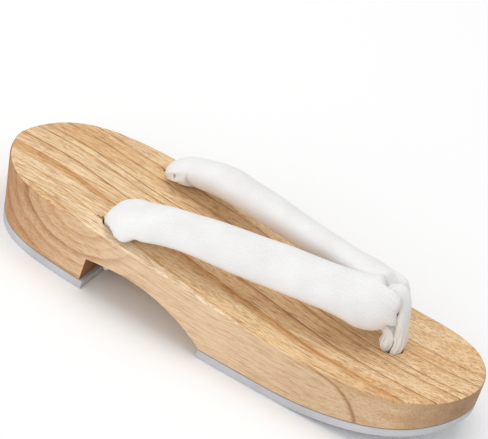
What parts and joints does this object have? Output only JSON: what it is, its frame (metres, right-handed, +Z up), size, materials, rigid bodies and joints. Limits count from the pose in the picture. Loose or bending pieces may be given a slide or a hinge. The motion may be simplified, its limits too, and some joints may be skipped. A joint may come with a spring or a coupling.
{
  "type": "geta sandal",
  "caption": "Low wooden sandal with a boat-shaped one-piece base, an arch cut under the instep, rubber treads and padded cloth straps on a toe loop, worn with a toe on each side of the loop.",
  "frame": {"origin": "on the floor, under the middle of the base's length and width", "axes": "+X towards the wearer's right, +Y towards the toe, +Z up"},
  "size_m": [0.0848, 0.2398, 0.0571],
  "materials": {
    "pale_wood": "pale straight-grained wood, planed and left without varnish",
    "grey_rubber": "light grey rubber sheet, matte",
    "white_crepe": "off-white crepe cloth over soft padding",
    "cotton_cord": "twisted cotton cord"
  },
  "bodies": {
    "root": {"base": "pale_wood", "heel_tread": "grey_rubber", "forefoot_tread": "grey_rubber", "straps": "white_crepe", "toe_loop": "white_crepe", "cord_knot_right": "cotton_cord", "cord_knot_left": "cotton_cord", "cord_knot_front": "cotton_cord"}
  },
  "joints": []
}
